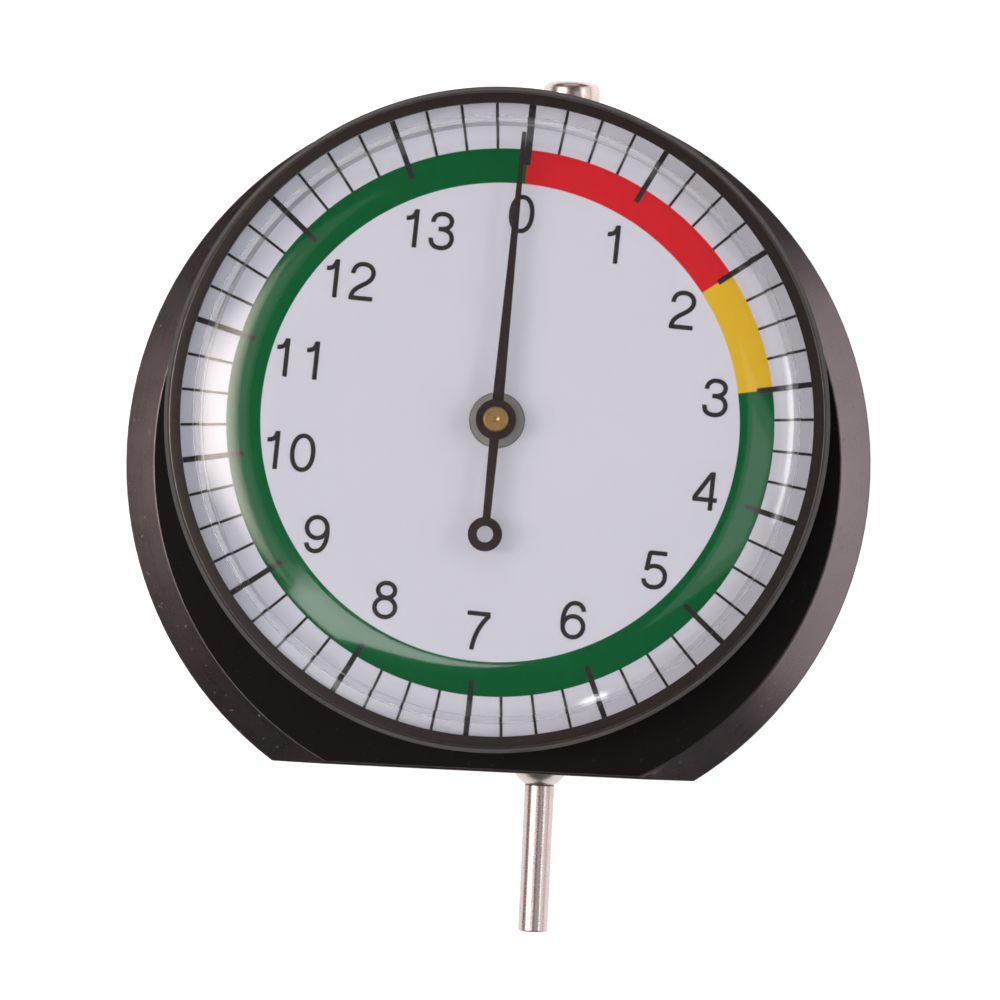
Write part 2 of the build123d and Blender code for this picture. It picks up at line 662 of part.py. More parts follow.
# ---------------------------------------------------------------- bezel
def bezel_ring():
    """Turning ring with a seat for the dial and a lip over the crystal."""
    outline = [
        (BEZEL_SEAT_R, BEZEL_Z),
        (BEZEL_R - BEZEL_FOOT_CHAMFER, BEZEL_Z),
        (BEZEL_R, BEZEL_Z + BEZEL_FOOT_CHAMFER),
        (BEZEL_R, BEZEL_TOP - BEZEL_TOP_CHAMFER),
        (BEZEL_R - BEZEL_TOP_CHAMFER, BEZEL_TOP),
        (LIP_R, BEZEL_TOP),
        (LIP_R, BEZEL_TOP - BEZEL_LIP_T),
        (BEZEL_BORE_R, BEZEL_TOP - BEZEL_LIP_T - BEZEL_LIP),
        (BEZEL_BORE_R, DIAL_Z),
        (BEZEL_SEAT_R, DIAL_Z),
    ]
    groove_low = WIRE_RING_Z - WIRE_GROOVE
    groove_high = WIRE_RING_Z + WIRE_GROOVE
    return turned(outline) - disc(BEZEL_SEAT_R + WIRE_GROOVE, groove_low, groove_high)


def dial_plate():
    """Flat dial clamped between the bezel's seat and the crystal."""
    return ring(CRYSTAL_R, FRONT_NOSE_R + DIAL_HOLE_GAP, DIAL_Z, DIAL_TOP)


def crystal():
    """Clear cup: a ring that stands on the dial, under the lip, and a raised, round-edged top."""
    ledge_z = BEZEL_TOP - BEZEL_LIP_T - BEZEL_LIP - LIFT_GAP
    inner_r = CRYSTAL_WALL_R - CRYSTAL_WALL
    under = CRYSTAL_TOP - CRYSTAL_T
    reach = CRYSTAL_WALL_R - CRYSTAL_FLAT_R
    shoulder_r = (reach**2 + CRYSTAL_DROP**2) / (2 * CRYSTAL_DROP)
    inner_shoulder_r = shoulder_r - CRYSTAL_T
    inner_z = under - inner_shoulder_r
    inner_z += math.sqrt(inner_shoulder_r**2 - (inner_r - CRYSTAL_FLAT_R) ** 2)
    side = [
        (CRYSTAL_WALL_R, CRYSTAL_TOP - CRYSTAL_DROP),
        (CRYSTAL_WALL_R, ledge_z),
        (CRYSTAL_R, ledge_z),
        (CRYSTAL_R, DIAL_TOP),
        (inner_r, DIAL_TOP),
        (inner_r, inner_z),
    ]
    middle = [(CRYSTAL_FLAT_R, under), (0, under), (0, CRYSTAL_TOP), (CRYSTAL_FLAT_R, CRYSTAL_TOP)]
    outline = Polyline(*side) + Polyline(*middle)
    outline += TangentArc(middle[-1], side[0], tangent=(1, 0))
    outline += TangentArc(middle[0], side[-1], tangent=(1, 0))
    cup = revolve(make_face(Plane.XZ * outline), Axis.Z)
    wall_top = cup.edges().filter_by(GeomType.CIRCLE).filter_by_position(
        Axis.Z, CRYSTAL_TOP - CRYSTAL_DROP - PRESS_GAP, CRYSTAL_TOP - CRYSTAL_DROP + PRESS_GAP
    )
    return fillet(wall_top, CRYSTAL_EDGE)


# ---------------------------------------------------------------- export
PARTS = [
    gauge_body,
    back_cover,
    back_cover_screws,
    lower_bush,
    upper_bush,
    bezel_wire,
    front_bush,
    rear_bush,
    movement_bridge,
    movement_pillars,
    bridge_screws,
    pillar_screws,
    guide_rail,
    guide_rail_screws,
    hairspring_stud,
    hairspring,
    return_spring,
    rack_plunger,
    guide_pin,
    contact_holder,
    contact_pin,
    lift_button,
    pinion_arbor,
    hairspring_collet,
    pointer_needle,
    pointer_collet,
    bezel_ring,
    dial_plate,
    crystal,
]

os.makedirs("parts", exist_ok=True)
for make in PARTS:
    made = make()
    solids = made if isinstance(made, list) else [made]
    shape = Compound(children=solids) if len(solids) > 1 else solids[0]
    export_step(shape, f"parts/{make.__name__}.step")
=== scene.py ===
"""Studio scene of a dial depth gauge that lies on its back, dial up.

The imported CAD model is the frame. Sizes below are millimetres in the CAD frame unless a
docstring says otherwise, and each finished mesh is brought to metres once, when it is finished.
"""

import json
import logging
import math
from collections.abc import Callable, Sequence
from dataclasses import dataclass, field
from enum import Enum

import bmesh
import bpy
from mathutils import Matrix, Vector


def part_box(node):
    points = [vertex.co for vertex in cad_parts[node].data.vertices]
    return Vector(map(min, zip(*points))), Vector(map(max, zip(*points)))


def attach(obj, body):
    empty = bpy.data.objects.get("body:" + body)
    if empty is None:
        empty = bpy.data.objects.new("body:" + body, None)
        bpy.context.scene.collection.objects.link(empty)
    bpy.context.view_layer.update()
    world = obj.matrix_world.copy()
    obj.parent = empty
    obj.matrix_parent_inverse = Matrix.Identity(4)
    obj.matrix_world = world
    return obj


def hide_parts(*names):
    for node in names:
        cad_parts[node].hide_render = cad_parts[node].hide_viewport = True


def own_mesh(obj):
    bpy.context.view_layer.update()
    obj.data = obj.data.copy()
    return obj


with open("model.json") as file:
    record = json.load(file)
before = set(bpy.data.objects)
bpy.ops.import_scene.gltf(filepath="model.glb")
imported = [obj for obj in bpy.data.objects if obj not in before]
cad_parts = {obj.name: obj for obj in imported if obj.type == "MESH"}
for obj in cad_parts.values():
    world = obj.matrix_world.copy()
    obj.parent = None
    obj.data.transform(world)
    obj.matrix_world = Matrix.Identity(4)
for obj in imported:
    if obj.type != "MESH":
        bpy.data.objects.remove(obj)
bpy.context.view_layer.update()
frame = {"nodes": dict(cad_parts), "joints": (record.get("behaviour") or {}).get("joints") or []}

MM = 0.001
MERGE_DISTANCE = 1e-4
FLAT_BELOW = math.radians(0.2)
SHARP_ABOVE = math.radians(50)
DISC_CENTRE = (0.0, -2.87, 0.0)
log = logging.getLogger("gauge")

Point = tuple[float, float]
Colour = tuple[float, float, float]


# ---------------------------------------------------------------- shader graphs
class Value:
    """A number in a shader graph; arithmetic on it adds Math nodes."""

    def __init__(self, graph: "Graph", socket: bpy.types.NodeSocket) -> None:
        """Wraps one output socket of a graph."""
        self.graph = graph
        self.socket = socket

    def _math(self, operation: str, first: object, second: object) -> "Value":
        """Adds one Math node and returns its result."""
        node = self.graph.node("ShaderNodeMath", {"operation": operation}, {0: first, 1: second})
        return Value(self.graph, node.outputs[0])

    def __add__(self, other: object) -> "Value":
        """self + other"""
        return self._math("ADD", self, other)

    def __radd__(self, other: object) -> "Value":
        """other + self"""
        return self._math("ADD", other, self)

    def __sub__(self, other: object) -> "Value":
        """self - other"""
        return self._math("SUBTRACT", self, other)

    def __rsub__(self, other: object) -> "Value":
        """other - self"""
        return self._math("SUBTRACT", other, self)

    def __mul__(self, other: object) -> "Value":
        """self * other"""
        return self._math("MULTIPLY", self, other)

    def __rmul__(self, other: object) -> "Value":
        """other * self"""
        return self._math("MULTIPLY", other, self)

    def over(self, threshold: float, softness: float) -> "Value":
        """How far the value is past a threshold, from 0 to 1 over a soft step."""
        node = self.graph.node(
            "ShaderNodeMapRange",
            {"interpolation_type": "SMOOTHSTEP"},
            {"Value": self, "From Min": threshold, "From Max": threshold + softness},
        )
        return Value(self.graph, node.outputs["Result"])


class Graph:
    """A material's node tree, with its Principled shader ready to set."""

    def __init__(self, name: str) -> None:
        """Makes an empty material of that name with a Principled shader."""
        self.material = bpy.data.materials.new(name)
        self.material.use_nodes = True
        self.tree = self.material.node_tree
        self.shader = self.tree.nodes["Principled BSDF"]
        self.output = self.tree.nodes["Material Output"]

    def node(
        self, kind: str, settings: dict[str, object], inputs: dict[str | int, object]
    ) -> bpy.types.Node:
        """Adds a node of any kind.

        Args:
            kind: Blender's name for the node's type.
            settings: properties that are set before the sockets.
            inputs: for each socket, by name or number, a Value, an output socket or a constant.

        Returns:
            The new node.
        """
        node = self.tree.nodes.new(kind)
        for name, setting in settings.items():
            setattr(node, name, setting)
        for name, given in inputs.items():
            self.put(node.inputs[name], given)
        return node

    def put(self, socket: bpy.types.NodeSocket, given: object) -> None:
        """Links a Value or an output socket to a socket, or sets a constant on it."""
        source = given.socket if isinstance(given, Value) else given
        if isinstance(source, bpy.types.NodeSocket):
            self.tree.links.new(source, socket)
        elif socket.type == "RGBA" and len(source) == 3:
            socket.default_value = (*source, 1.0)
        else:
            socket.default_value = source

    def set(self, **sockets: object) -> None:
        """Sets sockets of the Principled shader; an underscore stands for a space."""
        for name, given in sockets.items():
            self.put(self.shader.inputs[name.replace("_", " ")], given)

    def place(
        self, centre: Sequence[float], turn: Sequence[float] = (0, 0, 0)
    ) -> bpy.types.NodeSocket:
        """The object's own coordinates in millimetres.

        Args:
            centre: where they are counted from.
            turn: Euler angles, in radians, of the pattern's own axes.

        Returns:
            The vector socket.
        """
        coordinates = self.node("ShaderNodeTexCoord", {}, {})
        mapping = self.node(
            "ShaderNodeMapping",
            {"vector_type": "TEXTURE"},
            {
                "Vector": coordinates.outputs["Object"],
                "Location": [c * MM for c in centre],
                "Rotation": turn,
                "Scale": (MM, MM, MM),
            },
        )
        return mapping.outputs["Vector"]

    def stretch(self, vector: bpy.types.NodeSocket, by: Sequence[float]) -> bpy.types.NodeSocket:
        """Multiplies a vector by another, component by component."""
        node = self.node("ShaderNodeVectorMath", {"operation": "MULTIPLY"}, {0: vector, 1: by})
        return node.outputs["Vector"]

    def length(self, vector: bpy.types.NodeSocket) -> Value:
        """The length of a vector."""
        node = self.node("ShaderNodeVectorMath", {"operation": "LENGTH"}, {0: vector})
        return Value(self, node.outputs["Value"])

    def along(self, vector: bpy.types.NodeSocket, axis: str) -> Value:
        """One component of a vector, X, Y or Z."""
        node = self.node("ShaderNodeSeparateXYZ", {}, {"Vector": vector})
        return Value(self, node.outputs[axis])

    def noise(self, vector: bpy.types.NodeSocket, scale: float, detail: float = 2.0) -> Value:
        """Solid noise from 0 to 1."""
        given = {"Vector": vector, "Scale": scale, "Detail": detail}
        node = self.node("ShaderNodeTexNoise", {}, given)
        return Value(self, node.outputs[0])

    def lines(self, distance: Value, scale: float, detail: float = 2.0) -> Value:
        """Noise from 0 to 1 that changes with one distance alone, as a tool's marks do."""
        node = self.node(
            "ShaderNodeTexNoise",
            {"noise_dimensions": "1D"},
            {"W": distance, "Scale": scale, "Detail": detail},
        )
        return Value(self, node.outputs[0])

    def mix(self, factor: object, first: object, second: object) -> bpy.types.NodeSocket:
        """Mixes two colours."""
        node = self.node("ShaderNodeMix", {"data_type": "RGBA"}, {0: factor, 6: first, 7: second})
        return node.outputs[2]

    def relief(self, height: Value, depth: float) -> bpy.types.NodeSocket:
        """A bumped normal whose full height is a depth in millimetres."""
        node = self.node("ShaderNodeBump", {}, {"Height": height, "Distance": depth * MM})
        return node.outputs["Normal"]


# ---------------------------------------------------------------- finishes
@dataclass(frozen=True)
class MachinedFinish:
    """A metal surface with tool marks about one axis, some mottling and a few specks.

    The marks follow the distance from the axis on flat faces and the place along it on walls,
    where wall_pace is how fast they change against those on a flat face. Specks are where the
    noise passes a threshold, which more specks lower.
    """

    name: str
    colour: Colour
    tint: Colour
    roughness: float = 0.3
    spread: float = 0.12
    metallic: float = 1.0
    centre: tuple[float, float, float] = (0.0, 0.0, 0.0)
    turn: tuple[float, float, float] = (0.0, 0.0, 0.0)
    pitch: float = 0.12
    depth: float = 0.0012
    patch: float = 1.5
    specks: float = 0.0
    speck_colour: Colour = (0.3, 0.28, 0.27)
    specular: float = 0.5
    wall_pace: float = 0.73
    speck_scale: float = 3.1
    speck_from: float = 0.74
    speck_more: float = 0.1
    speck_edge: float = 0.03
    speck_cover: float = 0.6
    speck_dull: float = 0.3

    def material(self) -> bpy.types.Material:
        """Builds the finish's material."""
        graph = Graph(self.name)
        place = graph.place(self.centre, self.turn)
        radius = graph.length(graph.stretch(place, (1, 1, 0)))
        marks = graph.lines(radius + graph.along(place, "Z") * self.wall_pace, 1 / self.pitch)
        mottle = graph.noise(place, 1 / self.patch, 4.0)
        colour = graph.mix(mottle, self.colour, self.tint)
        roughness = self.roughness + (mottle - 0.5) * self.spread + (marks - 0.5) * self.spread
        if self.specks > 0:
            threshold = self.speck_from - self.speck_more * self.specks
            speck = graph.noise(place, self.speck_scale, 1.0).over(threshold, self.speck_edge)
            colour = graph.mix(speck * self.speck_cover, colour, self.speck_colour)
            roughness = roughness + speck * self.speck_dull
        graph.set(
            Base_Color=colour,
            Roughness=roughness,
            Metallic=self.metallic,
            Specular_IOR_Level=self.specular,
            Normal=graph.relief(marks, self.depth),
        )
        return graph.material


@dataclass(frozen=True)
class PrintFinish:
    """Ink or enamel on a flat face, a little uneven in tone and gloss."""

    name: str
    colour: Colour
    tint: Colour
    roughness: float = 0.45
    patch: float = 0.9
    grain: float = 0.05
    depth: float = 0.0008
    specular: float = 0.06
    cloud_share: float = 0.7
    gloss_spread: float = 0.15

    def material(self) -> bpy.types.Material:
        """Builds the finish's material."""
        graph = Graph(self.name)
        place = graph.place((0, 0, 0))
        cloud = graph.noise(place, 1 / self.patch, 3.0)
        grain = graph.noise(place, 1 / self.grain, 1.0)
        graph.set(
            Base_Color=graph.mix(
                cloud * self.cloud_share + grain * (1 - self.cloud_share), self.colour, self.tint
            ),
            Roughness=self.roughness + (cloud - 0.5) * self.gloss_spread,
            Specular_IOR_Level=self.specular,
            Normal=graph.relief(grain, self.depth),
        )
        return graph.material


@dataclass(frozen=True)
class ClearFinish:
    """Polished clear plastic that lets light through to what it covers."""

    name: str
    roughness: float = 0.04
    index: float = 1.49

    def material(self) -> bpy.types.Material:
        """Builds the material: shadow rays pass, so the plastic throws no dark shadow."""
        graph = Graph(self.name)
        place = graph.place((0, 0, 0))
        haze = graph.noise(place, 0.4, 3.0)
        graph.set(
            Base_Color=(0.985, 0.985, 0.985),
            Roughness=self.roughness + haze * self.roughness,
            IOR=self.index,
            Transmission_Weight=1.0,
        )
        path = graph.node("ShaderNodeLightPath", {}, {})
        clear = graph.node("ShaderNodeBsdfTransparent", {}, {"Color": (0.985, 0.985, 0.985, 1.0)})
        mixed = graph.node(
            "ShaderNodeMixShader",
            {},
            {0: path.outputs["Is Shadow Ray"], 1: graph.shader.outputs[0], 2: clear.outputs[0]},
        )
        graph.put(graph.output.inputs["Surface"], mixed.outputs[0])
        return graph.material


# ---------------------------------------------------------------- shaping
class Facets(Enum):
    """How many steps a full turn is made of."""

    SMALL = 96
    LARGE = 320
    FINE = 640


class Workpiece:
    """A mesh that is being shaped, in millimetres, until it is finished as an object."""

    def __init__(self) -> None:
        """Starts with nothing."""
        self.mesh = bmesh.new()

    @classmethod
    def turned(cls, outline: Sequence[Point], facets: Facets, ring: bool = False) -> "Workpiece":
        """Turns an outline about +Z.

        Args:
            outline: (radius, z) points in order.
            facets: how finely the turn is divided.
            ring: whether the outline closes on itself, clear of the axis.

        Returns:
            The turned piece.
        """
        piece = cls()
        verts = [piece.mesh.verts.new((radius, 0, z)) for radius, z in outline]
        pairs = list(zip(verts, verts[1:]))
        if ring:
            pairs.append((verts[-1], verts[0]))
        edges = [piece.mesh.edges.new(pair) for pair in pairs]
        bmesh.ops.spin(
            piece.mesh,
            geom=verts + edges,
            cent=(0, 0, 0),
            axis=(0, 0, 1),
            angle=math.tau,
            steps=facets.value,
            use_merge=True,
        )
        return piece.closed()

    @classmethod
    def from_cad(cls, node: str) -> "Workpiece":
        """A merged copy of a CAD node's mesh with its flat faces whole."""
        piece = cls()
        piece.mesh.from_mesh(frame["nodes"][node].data)
        bmesh.ops.scale(piece.mesh, vec=(1 / MM,) * 3, verts=piece.mesh.verts)
        bmesh.ops.remove_doubles(piece.mesh, verts=piece.mesh.verts, dist=MERGE_DISTANCE)
        bmesh.ops.dissolve_limit(
            piece.mesh,
            angle_limit=FLAT_BELOW,
            verts=piece.mesh.verts,
            edges=piece.mesh.edges,
        )
        return piece

    def closed(self) -> "Workpiece":
        """Merges coincident points and turns the faces outwards."""
        bmesh.ops.remove_doubles(self.mesh, verts=self.mesh.verts, dist=MERGE_DISTANCE)
        bmesh.ops.recalc_face_normals(self.mesh, faces=self.mesh.faces)
        return self

    def break_edges(
        self,
        width: float,
        segments: int = 2,
        sharper_than: float = 22.0,
        where: Callable[[Vector], bool] = lambda point: True,
        material: int = -1,
    ) -> "Workpiece":
        """Rounds the sharp edges.

        Args:
            width: how far the rounding reaches from an edge.
            segments: facets across the rounding.
            sharper_than: degrees between two faces from which their edge is sharp.
            where: whether an edge with its middle at a point is to be rounded.
            material: material slot of the rounding, or -1 for that of its neighbours.

        Returns:
            The same piece.
        """
        limit = math.radians(sharper_than)
        edges = [
            edge
            for edge in self.mesh.edges
            if edge.is_manifold
            and edge.calc_face_angle(0) > limit
            and where((edge.verts[0].co + edge.verts[1].co) / 2)
        ]
        bmesh.ops.bevel(
            self.mesh,
            geom=edges,
            offset=width,
            offset_type="OFFSET",
            segments=segments,
            profile=0.5,
            affect="EDGES",
            clamp_overlap=False,
            material=material,
        )
        return self

    def paint(self, material: int, where: Callable[[bmesh.types.BMFace], bool]) -> "Workpiece":
        """Gives the faces that pass a test another material slot."""
        for face in self.mesh.faces:
            if where(face):
                face.material_index = material
        return self

    def move(self, matrix: Matrix) -> "Workpiece":
        """Moves, turns or scales the whole piece."""
        bmesh.ops.transform(self.mesh, matrix=matrix, verts=self.mesh.verts)
        return self

    def join(self, other: "Workpiece") -> "Workpiece":
        """Takes in another piece, which is used up."""
        carrier = bpy.data.meshes.new("carrier")
        other.mesh.to_mesh(carrier)
        other.mesh.free()
        self.mesh.from_mesh(carrier)
        bpy.data.meshes.remove(carrier)
        return self

    def finish(
        self,
        name: str,
        body: str,
        slot: str,
        materials: Sequence[bpy.types.Material],
        replaces: Sequence[str] = (),
    ) -> bpy.types.Object:
        """Makes the piece an object that rides on a body.

        Args:
            name: the object's name.
            body: the CAD body that it moves with.
            slot: the record's material slot; it is not used.
            materials: one material for each material slot.
            replaces: CAD nodes that it stands for.

        Returns:
            The object, at the origin, with its place in its mesh.
        """
        bmesh.ops.scale(self.mesh, vec=(MM,) * 3, verts=self.mesh.verts)
        data = bpy.data.meshes.new(name)
        self.mesh.to_mesh(data)
        self.mesh.free()
        data.shade_smooth()
        data.set_sharp_from_angle(angle=SHARP_ABOVE)
        for material in materials:
            data.materials.append(material)
        made = bpy.data.objects.new(name, data)
        bpy.context.scene.collection.objects.link(made)
        weighted = made.modifiers.new("weighted", "WEIGHTED_NORMAL")
        weighted.keep_sharp = True
        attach(made, body)
        if replaces:
            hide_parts(*replaces)
        log.info("%s: %d faces, on %s", name, len(data.polygons), body)
        return made


def box_mm(node: str) -> tuple[Vector, Vector]:
    """A CAD node's lowest and highest corners in millimetres."""
    low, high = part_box(node)
    return low / MM, high / MM


def dress(nodes: str, material: bpy.types.Material) -> None:
    """Gives carried-over CAD nodes, named with spaces between them, their material."""
    for node in nodes.split():
        data = frame["nodes"][node].data
        data.materials.clear()
        data.materials.append(material)
        log.info("%s: CAD node, %s", node, material.name)


# ---------------------------------------------------------------- case
@dataclass
class Case:
    """The turned black case, its back cover and screws."""

    edge: float = 0.07
    screw_edge: float = 0.03
    outside_r: float = 21.6
    chamfer_r: float = 23.0
    chamfer_tilt: tuple[float, float] = (15.0, 65.0)
    black: MachinedFinish = MachinedFinish(
        "case_black",
        (0.0062, 0.0037, 0.0039),
        (0.0095, 0.0062, 0.0064),
        roughness=0.42,
        spread=0.1,
        metallic=0.0,
        centre=DISC_CENTRE,
        pitch=0.1,
        depth=0.0004,
        patch=2.4,
        specks=0.25,
        speck_colour=(0.03, 0.024, 0.025),
        specular=0.12,
    )
    chamfer: MachinedFinish = MachinedFinish(
        "case_chamfer",
        (0.19, 0.151, 0.16),
        (0.235, 0.19, 0.2),
        roughness=0.28,
        spread=0.07,
        centre=DISC_CENTRE,
        pitch=0.1,
        depth=0.0003,
        patch=2.4,
        specks=0.2,
        speck_colour=(0.28, 0.235, 0.24),
    )
    worn: MachinedFinish = MachinedFinish(
        "case_worn_edge",
        (0.15, 0.125, 0.13),
        (0.07, 0.055, 0.06),
        roughness=0.34,
        centre=DISC_CENTRE,
        patch=1.1,
    )
    cover: MachinedFinish = MachinedFinish(
        "cover_black",
        (0.09, 0.075, 0.079),
        (0.12, 0.1, 0.105),
        pitch=0.14,
        depth=0.002,
        patch=3.0,
    )
    screw: MachinedFinish = MachinedFinish(
        "screw_steel",
        (0.36, 0.35, 0.35),
        (0.24, 0.23, 0.24),
        roughness=0.3,
        pitch=0.05,
        patch=0.5,
    )

    def build(self) -> None:
        """Makes the case's visible pieces."""
        worn = self.worn.material()
        casting = Workpiece.from_cad("gauge_body").paint(2, self._on_chamfer)
        casting.break_edges(self.edge, where=self._outside, material=1)
        looks = [self.black.material(), worn, self.chamfer.material()]
        casting.finish("case", "case", "body_anodised", looks, ["gauge_body"])
        cover = Workpiece.from_cad("back_cover").break_edges(self.edge, material=1)
        looks = [self.cover.material(), worn]
        cover.finish("cover", "case", "body_anodised", looks, ["back_cover"])
        screws = Workpiece.from_cad("back_cover_screws")
        screws.break_edges(self.screw_edge, segments=1, sharper_than=40.0)
        looks = [self.screw.material()]
        screws.finish("cover_screws", "case", "screw_steel", looks, ["back_cover_screws"])

    def _on_chamfer(self, face: bmesh.types.BMFace) -> bool:
        """Whether a face is part of the sloped rim on the case's front."""
        out = face.calc_center_median() - Vector(DISC_CENTRE)
        tilt = math.degrees(face.normal.angle(Vector((0, 0, 1)), 0))
        lowest, steepest = self.chamfer_tilt
        return lowest < tilt < steepest and out.xy.length > self.chamfer_r

    def _outside(self, point: Vector) -> bool:
        """Whether a point lies on the case's outside."""
        return point.xy.length > self.outside_r


# ---------------------------------------------------------------- bezel
@dataclass
class Bezel:
    """The turning ring, whose outer top edge is painted a paler metal: edge wear and a painted
    highlight.
    """

    wall: float = 0.9
    seat: float = 0.35
    lip: float = 0.22
    lip_t: float = 0.3
    top_chamfer: float = 0.4
    foot_chamfer: float = 0.2
    edge: float = 0.05
    worn_reach: float = 0.3
    black: MachinedFinish = MachinedFinish(
        "bezel_black",
        (0.026, 0.0185, 0.0175),
        (0.036, 0.0265, 0.025),
        roughness=0.34,
        spread=0.14,
        metallic=0.0,
        pitch=0.07,
        depth=0.001,
        patch=1.8,
        specks=0.3,
        speck_colour=(0.06, 0.052, 0.048),
        specular=0.28,
    )
    # A paler metal for the outer top edge: edge wear, and a painted highlight along the rounded lip.
    worn: MachinedFinish = MachinedFinish(
        "bezel_worn_highlight_edge",
        (0.19, 0.155, 0.15),
        (0.05, 0.04, 0.038),
        roughness=0.3,
        metallic=0.8,
        pitch=0.3,
        patch=0.7,
    )

    def build(self) -> None:
        """Turns the ring."""
        low, high = box_mm("bezel_ring")
        dial_z = box_mm("dial_plate")[0].z
        outer, foot, top = high.x, low.z, high.z
        bore = outer - self.wall
        seat_r, lip_r = bore - self.seat, bore - self.lip
        outline = [
            (seat_r, foot),
            (outer - self.foot_chamfer, foot),
            (outer, foot + self.foot_chamfer),
            (outer, top - self.top_chamfer),
            (outer - self.top_chamfer, top),
            (lip_r, top),
            (lip_r, top - self.lip_t),
            (bore, top - self.lip_t - self.lip),
            (bore, dial_z),
            (seat_r, dial_z),
        ]
        ring = Workpiece.turned(outline, Facets.LARGE, ring=True)
        # The outer top edge takes the paler metal: edge wear and a painted highlight.
        worn_highlight_r = outer - self.top_chamfer / 2 - self.worn_reach
        worn_highlight_z = top - self.worn_reach
        ring.break_edges(
            self.edge, where=lambda p: p.xy.length > worn_highlight_r and p.z > worn_highlight_z, material=1
        )
        materials = [self.black.material(), self.worn.material()]
        ring.finish("bezel", "bezel", "bezel_black", materials, ["bezel_ring"])


# ---------------------------------------------------------------- crystal
@dataclass
class Crystal:
    """The clear cup over the dial: a ring under the bezel's lip and a raised, round-edged top."""

    wall: float = 0.55
    thickness: float = 0.6
    ring_w: float = 1.03
    ledge_down: float = 0.57
    slope: float = 4.2
    drop: float = 1.04
    edge: float = 0.2
    edge_steps: int = 5
    edge_found: float = 0.05
    dial_gap: float = 0.05
    bend_steps: int = 16
    clear: ClearFinish = ClearFinish("crystal_clear")

    def build(self) -> None:
        """Turns the cup a hair clear of the dial's print."""
        low, high = box_mm("crystal")
        outer, top, foot = high.x, high.z, low.z + self.dial_gap
        ledge_z = box_mm("bezel_ring")[1].z - self.ledge_down
        wall_r = outer - self.ring_w
        inner = wall_r - self.wall
        flat_r = wall_r - self.slope
        shoulder = (self.slope**2 + self.drop**2) / (2 * self.drop)
        outline = [(0.0, top)]
        outline += self._bend(flat_r, top - shoulder, shoulder, wall_r)
        outline += [(wall_r, ledge_z), (outer, ledge_z), (outer, foot), (inner, foot)]
        outline += reversed(self._bend(flat_r, top - shoulder, shoulder - self.thickness, inner))
        outline.append((0.0, top - self.thickness))
        cup = Workpiece.turned(outline, Facets.FINE)
        wall_top = top - self.drop
        cup.break_edges(
            self.edge, self.edge_steps, 40.0, where=lambda p: abs(p.z - wall_top) < self.edge_found
        )
        cup.finish("crystal_cup", "bezel", "crystal_clear", [self.clear.material()], ["crystal"])

    def _bend(self, centre_r: float, centre_z: float, radius: float, reach: float) -> list[Point]:
        """Points of a round shoulder.

        Args:
            centre_r: distance of the bend's centre from the axis.
            centre_z: height of the bend's centre.
            radius: the bend's radius.
            reach: distance from the axis at which it ends.

        Returns:
            The points, from the flat top outwards.
        """
        end = math.asin((reach - centre_r) / radius)
        angles = [end * i / self.bend_steps for i in range(self.bend_steps + 1)]
        return [(centre_r + radius * math.sin(a), centre_z + radius * math.cos(a)) for a in angles]


# ---------------------------------------------------------------- numerals
@dataclass(frozen=True)
class Stroke:
    """One pen stroke of a numeral, as a Bezier path in units of the numeral's height.

    The path is its start, then for each bend two handles and the next point.
    """

    path: tuple[Point, ...]
    closed: bool = False

    def half_turned(self, width: float) -> "Stroke":
        """The stroke turned by half a turn about the numeral's middle."""
        return Stroke(tuple((width - x, 1 - y) for x, y in self.path), self.closed)


def straight(start: Point, end: Point) -> Stroke:
    """A straight stroke."""
    return Stroke((start, start, end, end))


def oval(x: float, y: float, wide: float, high: float, square: float = 0.5523) -> Stroke:
    """A closed oval about (x, y), with half axes wide and high."""
    kx, ky = wide * square, high * square
    path = (
        (x, y + high), (x + kx, y + high), (x + wide, y + ky),
        (x + wide, y), (x + wide, y - ky), (x + kx, y - high),
        (x, y - high), (x - kx, y - high), (x - wide, y - ky),
        (x - wide, y), (x - wide, y + ky), (x - kx, y + high), (x, y + high),
    )
    return Stroke(path, closed=True)


